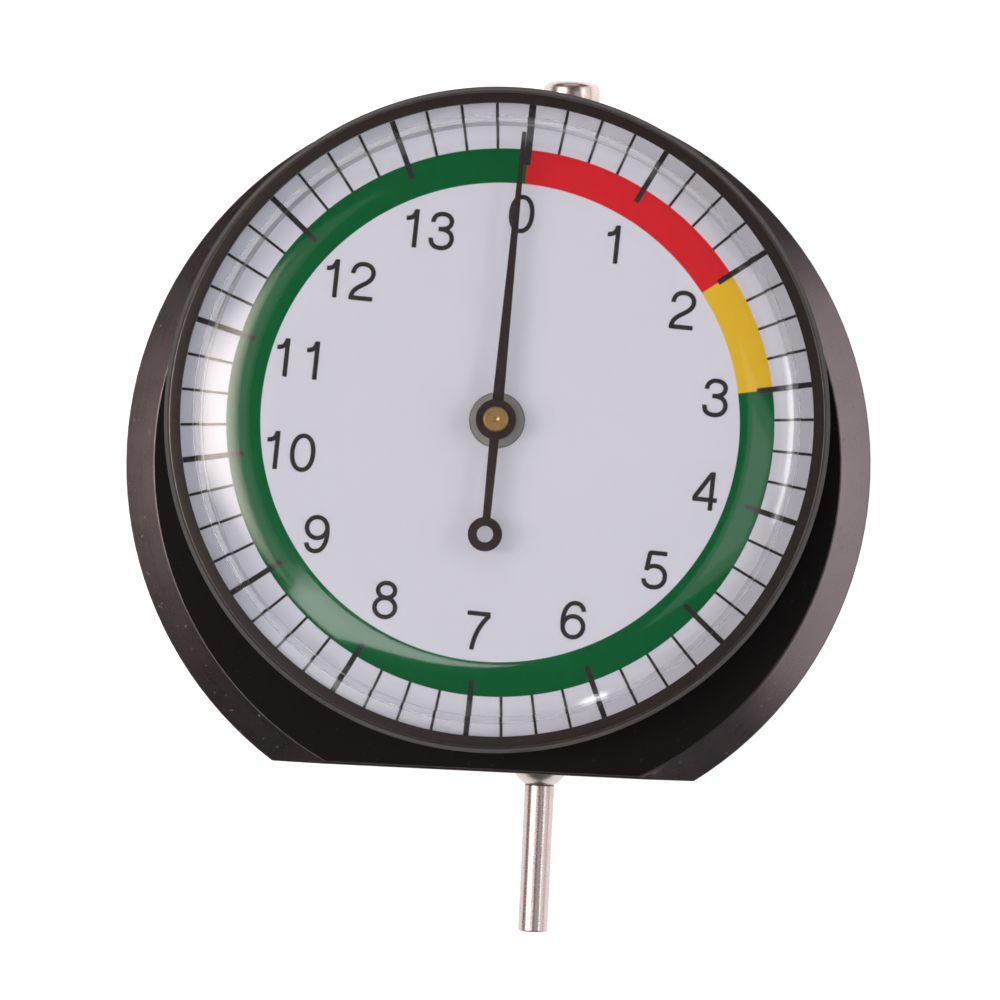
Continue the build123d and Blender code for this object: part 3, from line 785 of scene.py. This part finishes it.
@dataclass
class Numerals:
    """Plain upright numerals drawn with one even stroke."""

    height: float = 2.6
    weight: float = 0.118
    width: float = 0.66
    advance: float = 0.78
    ink_t: float = 0.03
    overlap_step: float = 0.003

    def strokes(self, digit: int) -> list[Stroke]:
        """The strokes of one digit."""
        six = [
            oval(0.335, 0.328, 0.266, 0.272),
            Stroke((
                (0.578, 0.74), (0.555, 0.87), (0.47, 0.944), (0.35, 0.944),
                (0.16, 0.944), (0.056, 0.75), (0.056, 0.46),
                (0.056, 0.40), (0.06, 0.37), (0.069, 0.328),
            )),
        ]
        shapes = {
            0: [oval(0.33, 0.5, 0.272, 0.444, 0.6)],
            1: [
                straight((0.42, 1.0), (0.42, 0.0)),
                Stroke(((0.155, 0.752), (0.29, 0.752), (0.375, 0.80), (0.405, 0.97))),
            ],
            2: [
                Stroke((
                    (0.072, 0.68), (0.072, 0.85), (0.18, 0.944), (0.335, 0.944),
                    (0.49, 0.944), (0.6, 0.85), (0.6, 0.715),
                    (0.6, 0.56), (0.48, 0.48), (0.345, 0.40),
                    (0.18, 0.30), (0.07, 0.22), (0.066, 0.02),
                )),
                straight((0.02, 0.05), (0.635, 0.05)),
            ],
            3: [
                Stroke((
                    (0.075, 0.71), (0.08, 0.86), (0.175, 0.944), (0.315, 0.944),
                    (0.46, 0.944), (0.56, 0.87), (0.56, 0.755),
                    (0.56, 0.62), (0.45, 0.545), (0.235, 0.545),
                )),
                Stroke((
                    (0.3, 0.545), (0.49, 0.545), (0.6, 0.45), (0.6, 0.305),
                    (0.6, 0.15), (0.48, 0.056), (0.32, 0.056),
                    (0.15, 0.056), (0.06, 0.14), (0.055, 0.30),
                )),
            ],
            4: [
                straight((0.48, 0.0), (0.48, 1.0)),
                straight((0.455, 0.965), (0.035, 0.29)),
                straight((0.0, 0.275), (0.64, 0.275)),
            ],
            5: [
                straight((0.145, 0.945), (0.605, 0.945)),
                straight((0.165, 0.965), (0.105, 0.475)),
                Stroke((
                    (0.095, 0.5), (0.155, 0.575), (0.235, 0.61), (0.33, 0.61),
                    (0.49, 0.61), (0.602, 0.49), (0.602, 0.335),
                    (0.602, 0.17), (0.48, 0.056), (0.315, 0.056),
                    (0.16, 0.056), (0.07, 0.13), (0.055, 0.26),
                )),
            ],
            6: six,
            7: [
                straight((0.03, 0.945), (0.635, 0.945)),
                Stroke(((0.61, 0.92), (0.42, 0.72), (0.26, 0.42), (0.225, 0.0))),
            ],
            8: [oval(0.33, 0.752, 0.222, 0.192), oval(0.33, 0.305, 0.27, 0.249)],
            9: [stroke.half_turned(self.width) for stroke in six],
        }
        return shapes[digit]

    def number(self, value: int) -> Workpiece:
        """One whole number, centred on the origin, standing along +Y, its foot at z 0."""
        digits = [int(sign) for sign in str(value)]
        pen = -self.advance * (len(digits) - 1) / 2 - self.width / 2
        piece = Workpiece()
        layer = 0
        for digit in digits:
            for stroke in self.strokes(digit):
                ink = self.ink_t + layer * self.overlap_step
                piece.join(self._ribbon(stroke, pen, ink))
                layer += 1
            pen += self.advance
        return piece

    def _ribbon(self, stroke: Stroke, pen: float, ink: float) -> Workpiece:
        """One stroke as a flat closed ribbon.

        Args:
            stroke: its centre line.
            pen: where the digit's left side is, in units of its height.
            ink: the ribbon's thickness in millimetres.

        Returns:
            The ribbon in millimetres.
        """
        curve = bpy.data.curves.new("stroke", "CURVE")
        curve.dimensions = "3D"
        curve.twist_mode = "Z_UP"
        curve.resolution_u = 10
        curve.extrude = self.weight * self.height / 2
        points = [Vector((x + pen, y - 0.5, 0)) * self.height for x, y in stroke.path]
        knots = points[0::3]
        if stroke.closed:
            knots = knots[:-1]
        spline = curve.splines.new("BEZIER")
        spline.bezier_points.add(len(knots) - 1)
        spline.use_cyclic_u = stroke.closed
        for i, knot in enumerate(spline.bezier_points):
            before = 3 * i - 1 if i else len(points) - 2
            after = min(3 * i + 1, len(points) - 1)
            knot.handle_left_type = knot.handle_right_type = "FREE"
            knot.co = knots[i]
            knot.handle_left = points[before] if i or stroke.closed else knots[i]
            knot.handle_right = points[after]
            knot.tilt = math.pi / 2
        carrier = bpy.data.objects.new("stroke", curve)
        flat = bpy.data.meshes.new_from_object(carrier)
        ribbon = Workpiece()
        ribbon.mesh.from_mesh(flat)
        bpy.data.objects.remove(carrier)
        bpy.data.curves.remove(curve)
        bpy.data.meshes.remove(flat)
        bmesh.ops.remove_doubles(ribbon.mesh, verts=ribbon.mesh.verts, dist=MERGE_DISTANCE)
        raised = bmesh.ops.extrude_face_region(
            ribbon.mesh, geom=ribbon.mesh.faces[:], use_keep_orig=True
        )
        tops = [item for item in raised["geom"] if isinstance(item, bmesh.types.BMVert)]
        bmesh.ops.translate(ribbon.mesh, vec=(0, 0, ink), verts=tops)
        return ribbon.closed()


# ---------------------------------------------------------------- dial
@dataclass(frozen=True)
class Zone:
    """A coloured stretch of the dial's ring, from one numbered mark to another."""

    name: str
    first: int
    last: int
    colour: Colour
    tint: Colour


@dataclass
class Dial:
    """The printed dial: plate, coloured zones, marks and numerals, which turn with the bezel."""

    marks: int = 14
    parts: int = 4
    turn: float = -3.4
    zone_inner: float = 16.2
    zone_outer: float = 18.5
    major_inner: float = 17.47
    mark_reach: float = 21.42
    major_w: float = 0.37
    zero_w: float = 0.47
    minor_w: float = 0.18
    zone_t: float = 0.015
    zone_sunk: float = 0.005
    zone_steps: int = 18
    mark_t: float = 0.03
    number_reach: Point = (14.7, 14.15)
    pair_reach: Point = (14.4, 14.15)
    pair_drop: float = 0.3
    off_centre: tuple[float, float] = (0.17, -0.12)
    bore_gap: float = 0.03
    nose_step: float = 0.75
    edge: float = 0.015
    top: float = field(init=False)
    numerals: Numerals = field(default_factory=Numerals)
    plate: PrintFinish = PrintFinish(
        "dial_enamel", (0.77, 0.785, 0.91), (0.82, 0.835, 0.955), roughness=0.5, patch=6.0
    )
    ink: PrintFinish = PrintFinish("black_ink", (0.03, 0.027, 0.03), (0.05, 0.045, 0.048))
    zones: tuple[Zone, ...] = (
        Zone("red", 0, 2, (0.74, 0.018, 0.026), (0.82, 0.026, 0.036)),
        Zone("yellow", 2, 3, (0.86, 0.54, 0.03), (0.93, 0.6, 0.042)),
        Zone("green", 3, 14, (0.0002, 0.11, 0.028), (0.001, 0.14, 0.04)),
    )

    def build(self) -> None:
        """Makes the plate and everything printed on it."""
        low, high = box_mm("dial_plate")
        self.top = high.z
        bore = box_mm("front_bush")[1].x - self.nose_step + self.bore_gap
        outline = [(bore, low.z), (high.x, low.z), (high.x, high.z), (bore, high.z)]
        plate = Workpiece.turned(outline, Facets.LARGE, ring=True).break_edges(self.edge, 2)
        plate.finish("dial", "bezel", "dial_white", [self.plate.material()], ["dial_plate"])
        for zone in self.zones:
            self._zone(zone)
        ink = self.ink.material()
        self._marks(ink)
        self._numbers(ink)

    def _print_place(self) -> Matrix:
        """Where the print lies on the plate: a little off centre."""
        return Matrix.Translation((*self.off_centre, 0))

    def _reach(self, bearing: float) -> float:
        """How far from the print's centre, on a bearing, the marks run to end near the edge."""
        outwards = Vector((-math.sin(bearing), math.cos(bearing)))
        aside = Vector(self.off_centre)
        along = aside.dot(outwards)
        return math.sqrt(along**2 + self.mark_reach**2 - aside.length_squared) - along

    def _bearing(self, mark: float) -> float:
        """The angle of a mark, in radians from +Y, anticlockwise."""
        return math.radians(self.turn) - math.tau * mark / self.marks

    def _zone(self, zone: Zone) -> None:
        """Prints one coloured stretch of the ring."""
        sector = Workpiece()
        low, high = self.top - self.zone_sunk, self.top + self.zone_t
        corners = [
            (self.zone_inner, low), (self.zone_outer, low),
            (self.zone_outer, high), (self.zone_inner, high),
        ]
        verts = [sector.mesh.verts.new((0, radius, z)) for radius, z in corners]
        face = sector.mesh.faces.new(verts)
        turn = Matrix.Rotation(self._bearing(zone.first), 3, "Z")
        bmesh.ops.rotate(sector.mesh, cent=(0, 0, 0), matrix=turn, verts=verts)
        span = zone.last - zone.first
        bmesh.ops.spin(
            sector.mesh,
            geom=[face, *face.edges, *verts],
            cent=(0, 0, 0),
            axis=(0, 0, 1),
            angle=-math.tau * span / self.marks,
            steps=self.zone_steps * span,
            use_duplicate=False,
        )
        ink = PrintFinish(f"{zone.name}_ink", zone.colour, zone.tint).material()
        sector.closed().move(self._print_place())
        sector.finish(f"{zone.name}_zone", "bezel", "dial_white", [ink])

    def _marks(self, ink: bpy.types.Material) -> None:
        """Prints the long and short marks, each on its bearing."""
        majors, minors = Workpiece(), Workpiece()
        for i in range(self.marks * self.parts):
            major = i % self.parts == 0
            inner = self.major_inner if major else self.zone_outer
            width = self.major_w if major else self.minor_w
            if i == 0:
                width = self.zero_w
            length = self._reach(self._bearing(i / self.parts)) - inner
            shape = self._print_place() @ Matrix.Rotation(self._bearing(i / self.parts), 4, "Z")
            shape @= Matrix.Translation((0, inner + length / 2, self.top + self.mark_t / 2))
            shape @= Matrix.Diagonal((width, length, self.mark_t, 1))
            bmesh.ops.create_cube((majors if major else minors).mesh, size=1, matrix=shape)
        majors.finish("long_marks", "bezel", "dial_white", [ink])
        minors.finish("short_marks", "bezel", "dial_white", [ink])

    def _numbers(self, ink: bpy.types.Material) -> None:
        """Prints the number beside each long mark, upright on the dial."""
        upright = Matrix.Rotation(math.radians(self.turn), 4, "Z")
        for value in range(self.marks):
            bearing = math.tau * value / self.marks
            pair = value > 9
            wide, high = self.pair_reach if pair else self.number_reach
            drop = self.pair_drop if pair else 0.0
            place = (wide * math.sin(bearing), high * math.cos(bearing) - drop, self.top)
            number = self.numerals.number(value)
            number.move(self._print_place() @ upright @ Matrix.Translation(place))
            number.finish(f"number_{value}", "bezel", "dial_white", [ink])


# ---------------------------------------------------------------- pointer
@dataclass
class Pointer:
    """The needle with its hub and ringed tail, and the brass collet that holds it."""

    blade: MachinedFinish = MachinedFinish(
        "needle_dark",
        (0.02, 0.011, 0.011),
        (0.034, 0.021, 0.021),
        roughness=0.36,
        metallic=0.0,
        pitch=0.2,
        depth=0.0006,
        patch=0.9,
        specular=0.3,
    )
    brass: MachinedFinish = MachinedFinish(
        "collet_brass", (0.62, 0.42, 0.16), (0.44, 0.27, 0.1), roughness=0.3, pitch=0.06, patch=0.6
    )
    blade_edge: float = 0.03
    collet_edge: float = 0.02

    def build(self) -> None:
        """Makes the needle and the collet's visible head."""
        blade, brass = self.blade.material(), self.brass.material()
        needle = Workpiece.from_cad("pointer_needle").break_edges(self.blade_edge, sharper_than=30.0)
        needle.finish("needle", "pointer", "needle_dark", [blade], ["pointer_needle"])
        collet = Workpiece.from_cad("pointer_collet").break_edges(self.collet_edge, sharper_than=30.0)
        collet.finish("collet", "pointer", "collet_brass", [brass], ["pointer_collet"])


# ---------------------------------------------------------------- plunger
@dataclass
class Plunger:
    """What shows of the plunger: contact pin, coned holder and lift button.

    The pin's shank sits in the holder, and the holder's spigot in the rod. The bell is how far
    the holder's nose has come in, and down, from its shoulder.
    """

    pin_edge: float = 0.12
    pin_shank_share: float = 0.73
    pin_shank_l: float = 3.0
    spigot_r: float = 1.2
    spigot_l: float = 3.2
    cone: float = 0.87
    bell: tuple[Point, ...] = ((0.0, 0.0), (0.05, 0.12), (0.42, 0.6))
    nose_r: float = 1.06
    holder_edge: float = 0.05
    button_edge: float = 0.5
    button_foot_edge: float = 0.08
    x: float = field(init=False)
    z: float = field(init=False)
    steel: MachinedFinish = MachinedFinish(
        "pin_steel",
        (0.62, 0.52, 0.51),
        (0.54, 0.44, 0.43),
        roughness=0.27,
        spread=0.05,
        pitch=0.09,
        depth=0.0001,
        patch=0.8,
    )
    nickel: MachinedFinish = MachinedFinish(
        "holder_nickel",
        (0.62, 0.57, 0.55),
        (0.5, 0.45, 0.43),
        roughness=0.3,
        pitch=0.06,
        patch=0.5,
    )
    polished: MachinedFinish = MachinedFinish(
        "button_nickel",
        (0.76, 0.62, 0.58),
        (0.66, 0.53, 0.5),
        roughness=0.28,
        spread=0.06,
        pitch=0.1,
        depth=0.0004,
        patch=0.9,
    )

    def build(self) -> None:
        """Turns the three pieces and lays them on the plunger's axis."""
        low, high = box_mm("contact_pin")
        self.x, self.z = (low.x + high.x) / 2, (low.z + high.z) / 2
        self._pin(low, high)
        self._holder()
        self._button()

    def _lay(self, piece: Workpiece) -> Workpiece:
        """Lays a piece that was turned about +Z along the plunger, its +Z on +Y."""
        lie = Matrix.Rotation(-math.pi / 2, 4, "X")
        return piece.move(Matrix.Translation((self.x, 0, self.z)) @ lie)

    def _aligned(self, finish: MachinedFinish) -> bpy.types.Material:
        """A finish whose tool marks run round the plunger's axis."""
        settings = {**finish.__dict__, "centre": (self.x, 0, self.z), "turn": (-math.pi / 2, 0, 0)}
        return MachinedFinish(**settings).material()

    def _pin(self, low: Vector, high: Vector) -> None:
        """The contact pin with its broken tip edge."""
        radius = (high.x - low.x) / 2
        shank_r, neck = radius * self.pin_shank_share, high.y - self.pin_shank_l
        outline = [(0, high.y), (shank_r, high.y), (shank_r, neck)]
        outline += [(radius, neck), (radius, low.y), (0, low.y)]
        pin = Workpiece.turned(outline, Facets.SMALL).break_edges(self.pin_edge, 3)
        finish = self._aligned(self.steel)
        self._lay(pin).finish("pin", "plunger", "pin_steel", [finish], ["contact_pin"])

    def _holder(self) -> None:
        """The contact holder, with a bell-shaped nose below the foot."""
        low, high = box_mm("contact_holder")
        radius = (high.x - low.x) / 2
        shoulder, seat = low.y + self.cone, high.y - self.spigot_l
        outline = [(0, high.y), (self.spigot_r, high.y), (self.spigot_r, seat), (radius, seat)]
        outline += [(radius - inwards, shoulder - down) for inwards, down in self.bell]
        outline += [(self.nose_r, low.y), (0, low.y)]
        holder = Workpiece.turned(outline, Facets.SMALL)
        holder.break_edges(self.holder_edge, sharper_than=30.0)
        finish = self._aligned(self.nickel)
        self._lay(holder).finish("holder", "plunger", "holder_nickel", [finish], ["contact_holder"])

    def _button(self) -> None:
        """The pan-headed lift button."""
        low, high = box_mm("lift_button")
        radius = (high.x - low.x) / 2
        outline = [(0, low.y), (radius, low.y), (radius, high.y), (0, high.y)]
        button = Workpiece.turned(outline, Facets.SMALL)
        middle = (low.y + high.y) / 2
        button.break_edges(self.button_edge, 6, where=lambda p: p.z > middle)
        foot = low.y + MERGE_DISTANCE
        button.break_edges(self.button_foot_edge, 2, 60.0, where=lambda p: p.z < foot)
        finish = self._aligned(self.polished)
        self._lay(button).finish("button", "plunger", "button_nickel", [finish], ["lift_button"])


# ---------------------------------------------------------------- movement
@dataclass
class Movement:
    """The hidden works: bridge, rail, rack, pinion, springs and bushes."""

    bush_edge: float = 0.05
    brass: MachinedFinish = MachinedFinish(
        "movement_brass", (0.62, 0.47, 0.2), (0.5, 0.36, 0.14), 0.34, pitch=0.15, patch=2.0
    )
    steel: MachinedFinish = MachinedFinish(
        "rod_steel", (0.55, 0.55, 0.56), (0.42, 0.42, 0.43), roughness=0.25, patch=1.2
    )
    spring: MachinedFinish = MachinedFinish(
        "spring_steel", (0.42, 0.42, 0.43), (0.3, 0.3, 0.31), roughness=0.3, patch=0.6
    )
    bronze: MachinedFinish = MachinedFinish(
        "hairspring_bronze", (0.52, 0.34, 0.18), (0.4, 0.24, 0.12), roughness=0.3, patch=0.5
    )
    nickel: MachinedFinish = MachinedFinish(
        "bush_nickel",
        (0.37, 0.36, 0.355),
        (0.3, 0.3, 0.29),
        roughness=0.5,
        metallic=0.5,
        pitch=0.08,
        patch=0.6,
    )
    screws: MachinedFinish = MachinedFinish(
        "small_screws", (0.35, 0.35, 0.36), (0.25, 0.25, 0.27), roughness=0.3, patch=0.4
    )

    def build(self) -> None:
        """Dresses the hidden nodes and rebuilds the bushes that show."""
        brass, steel, screws = (f.material() for f in (self.brass, self.steel, self.screws))
        nickel = self.nickel.material()
        wire = self.spring.material()
        dress("movement_bridge movement_pillars guide_rail rear_bush", brass)
        dress("rack_plunger guide_pin pinion_arbor hairspring_collet hairspring_stud", steel)
        dress("bridge_screws pillar_screws guide_rail_screws", screws)
        dress("hairspring", self.bronze.material())
        dress("bezel_wire", wire)
        for node in ("front_bush", "upper_bush", "lower_bush"):
            copy = Workpiece.from_cad(node).break_edges(self.bush_edge, sharper_than=40.0)
            copy.finish(f"{node}_turned", "case", "bush_nickel", [nickel], [node])
        self._return_spring(wire)

    def _return_spring(self, wire: bpy.types.Material) -> None:
        """A copy of the return spring; the share of its length it would keep is worked out but not
        applied.
        """
        low, high = box_mm("return_spring")
        slide = next(joint for joint in frame["joints"] if joint["name"] == "plunger_slide")
        travel = slide["range_m"][1] / MM
        keep = (high.y - low.y - travel) / (high.y - low.y)
        coil = Workpiece.from_cad("return_spring")
        made = coil.finish("coil_spring", "case", "spring_steel", [wire], ["return_spring"])
        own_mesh(made)


# ---------------------------------------------------------------- studio
@dataclass(frozen=True)
class Softbox:
    """A rectangular lamp aimed at the gauge, which can fade towards its edges.

    Angles are degrees, distances metres; polar is counted from straight overhead and
    azimuth from +X. A fading lamp is several panels, one behind the other,
    each smaller than the last, whose light adds up.
    """

    name: str
    polar: float
    azimuth: float
    distance: float
    deep: float
    wide: float
    radiance: float
    colour: Colour = (1.0, 1.0, 1.0)
    steps: int = 1
    fade: float = 0.65
    apart: float = 0.003

    def build(self, target: Vector) -> None:
        """Hangs the lamp, or every step of a fading one."""
        for step in range(self.steps):
            share = 1 - self.fade * step / self.steps
            self._panel(target, share, self.distance + self.apart * step)

    def _panel(self, target: Vector, share: float, distance: float) -> None:
        """Hangs one panel, which is a share of the lamp's size, at its own distance."""
        lamp = bpy.data.lights.new(self.name, "AREA")
        lamp.shape = "RECTANGLE"
        lamp.size, lamp.size_y = self.wide * share, self.deep * share
        lamp.energy = self.radiance / self.steps * math.pi * lamp.size * lamp.size_y
        lamp.color = self.colour
        polar, azimuth = math.radians(self.polar), math.radians(self.azimuth)
        side = math.sin(polar)
        out = Vector((side * math.cos(azimuth), side * math.sin(azimuth), math.cos(polar)))
        holder = bpy.data.objects.new(self.name, lamp)
        holder.matrix_world = Matrix.Translation(target + out * distance) @ (
            out.to_track_quat("Z", "Y").to_matrix().to_4x4()
        )
        bpy.context.scene.collection.objects.link(holder)


@dataclass
class Studio:
    """Camera, lamps, room light and floor."""

    lens: float = 158.7
    camera_distance: float = 0.300
    subject_z: float = 0.012
    yaw: float = -2.54
    pitch: float = -1.17
    roll: float = -2.65
    slide: tuple[float, float] = (-0.0000936, 0.0053302)
    room: float = 0.05
    floor_size: float = 4.0
    floor_gap: float = 0.00003
    lamps: tuple[Softbox, ...] = (
        Softbox("key_left", 40.0, 178.0, 1.0, 0.75, 0.5, 6.6, (1.0, 0.88, 0.79), steps=7),
        Softbox("wall_left", 70.0, 182.0, 1.0, 0.6, 1.0, 0.12, (1.0, 0.965, 0.95)),
        Softbox("wall_right", 68.0, 0.0, 1.0, 0.6, 1.3, 1.0),
        Softbox("strip_right", 49.0, 1.0, 0.9, 0.07, 0.42, 4.5),
        Softbox("card_left", 20.0, 176.0, 1.0, 0.35, 0.5, 0.5, steps=2),
        Softbox("card_front", 17.0, -137.0, 1.0, 0.42, 0.12, 2.8),
        Softbox("card_right", 22.0, -11.0, 1.0, 0.45, 0.34, 0.8, steps=2),
        Softbox("window_front", 50.0, -70.0, 1.0, 0.09, 0.07, 9.0, (0.93, 0.98, 1.0)),
        Softbox("back_top", 66.0, 92.0, 1.0, 0.4, 0.9, 0.55),
        Softbox("dome_back", 46.0, 95.0, 1.0, 0.26, 0.9, 0.7),
        Softbox("dome_right", 46.0, 15.0, 1.0, 0.26, 0.6, 0.9),
        Softbox("dome_front", 46.0, -90.0, 1.0, 0.26, 0.9, 0.5),
    )

    def build(self) -> None:
        """Sets up the whole studio."""
        self._camera()
        self._room()
        self._floor()
        target = Vector((0, 0, self.subject_z))
        for lamp in self.lamps:
            lamp.build(target)
        bpy.context.scene.view_settings.view_transform = "Standard"

    def _camera(self) -> None:
        """Hangs the camera over the dial, a little off square."""
        lens = bpy.data.cameras.new("camera")
        lens.lens = self.lens
        lens.sensor_width = 36.0
        lens.clip_start = 0.01
        camera = bpy.data.objects.new("camera", lens)
        turn = (
            Matrix.Rotation(math.radians(-self.roll), 4, "Z")
            @ Matrix.Rotation(math.radians(-self.pitch), 4, "X")
            @ Matrix.Rotation(math.radians(-self.yaw), 4, "Y")
        )
        back = Matrix.Translation((-self.slide[0], -self.slide[1], self.camera_distance))
        camera.matrix_world = Matrix.Translation((0, 0, self.subject_z)) @ turn @ back
        bpy.context.scene.collection.objects.link(camera)
        bpy.context.scene.camera = camera

    def _room(self) -> None:
        """Dim even room light, with a white room where the camera looks past the floor."""
        world = bpy.data.worlds.new("room")
        world.use_nodes = True
        nodes, links = world.node_tree.nodes, world.node_tree.links
        background = nodes["Background"]
        path = nodes.new("ShaderNodeLightPath")
        shade = nodes.new("ShaderNodeMapRange")
        shade.inputs["To Min"].default_value = self.room
        shade.inputs["To Max"].default_value = 1.0
        links.new(path.outputs["Is Camera Ray"], shade.inputs["Value"])
        links.new(shade.outputs["Result"], background.inputs["Strength"])
        background.inputs["Color"].default_value = (1.0, 1.0, 1.0, 1.0)
        bpy.context.scene.world = world

    def _floor(self) -> None:
        """A white floor that glows a little, so shadows on it stay faint."""
        graph = Graph("floor_white")
        cloud = graph.noise(graph.place((0, 0, 0)), 0.004)
        graph.set(
            Base_Color=graph.mix(cloud, (0.8, 0.8, 0.8), (0.84, 0.84, 0.84)),
            Roughness=0.9,
            Specular_IOR_Level=0.0,
            Emission_Color=(1.0, 1.0, 1.0),
            Emission_Strength=0.8,
        )
        data = bpy.data.meshes.new("floor")
        plane = bmesh.new()
        bmesh.ops.create_grid(plane, x_segments=1, y_segments=1, size=self.floor_size / 2)
        bmesh.ops.translate(plane, vec=(0, 0, -self.floor_gap), verts=plane.verts)
        plane.to_mesh(data)
        plane.free()
        data.materials.append(graph.material)
        floor = bpy.data.objects.new("floor", data)
        bpy.context.scene.collection.objects.link(floor)


def main() -> None:
    """Builds the gauge's looks piece by piece, then the studio."""
    logging.basicConfig(level=logging.INFO, format="%(name)s: %(message)s", force=True)
    for kind in (Case, Bezel, Crystal, Dial, Pointer, Plunger, Movement, Studio):
        log.info("building %s", kind.__name__)
        kind().build()


if __name__ == "__main__":
    main()
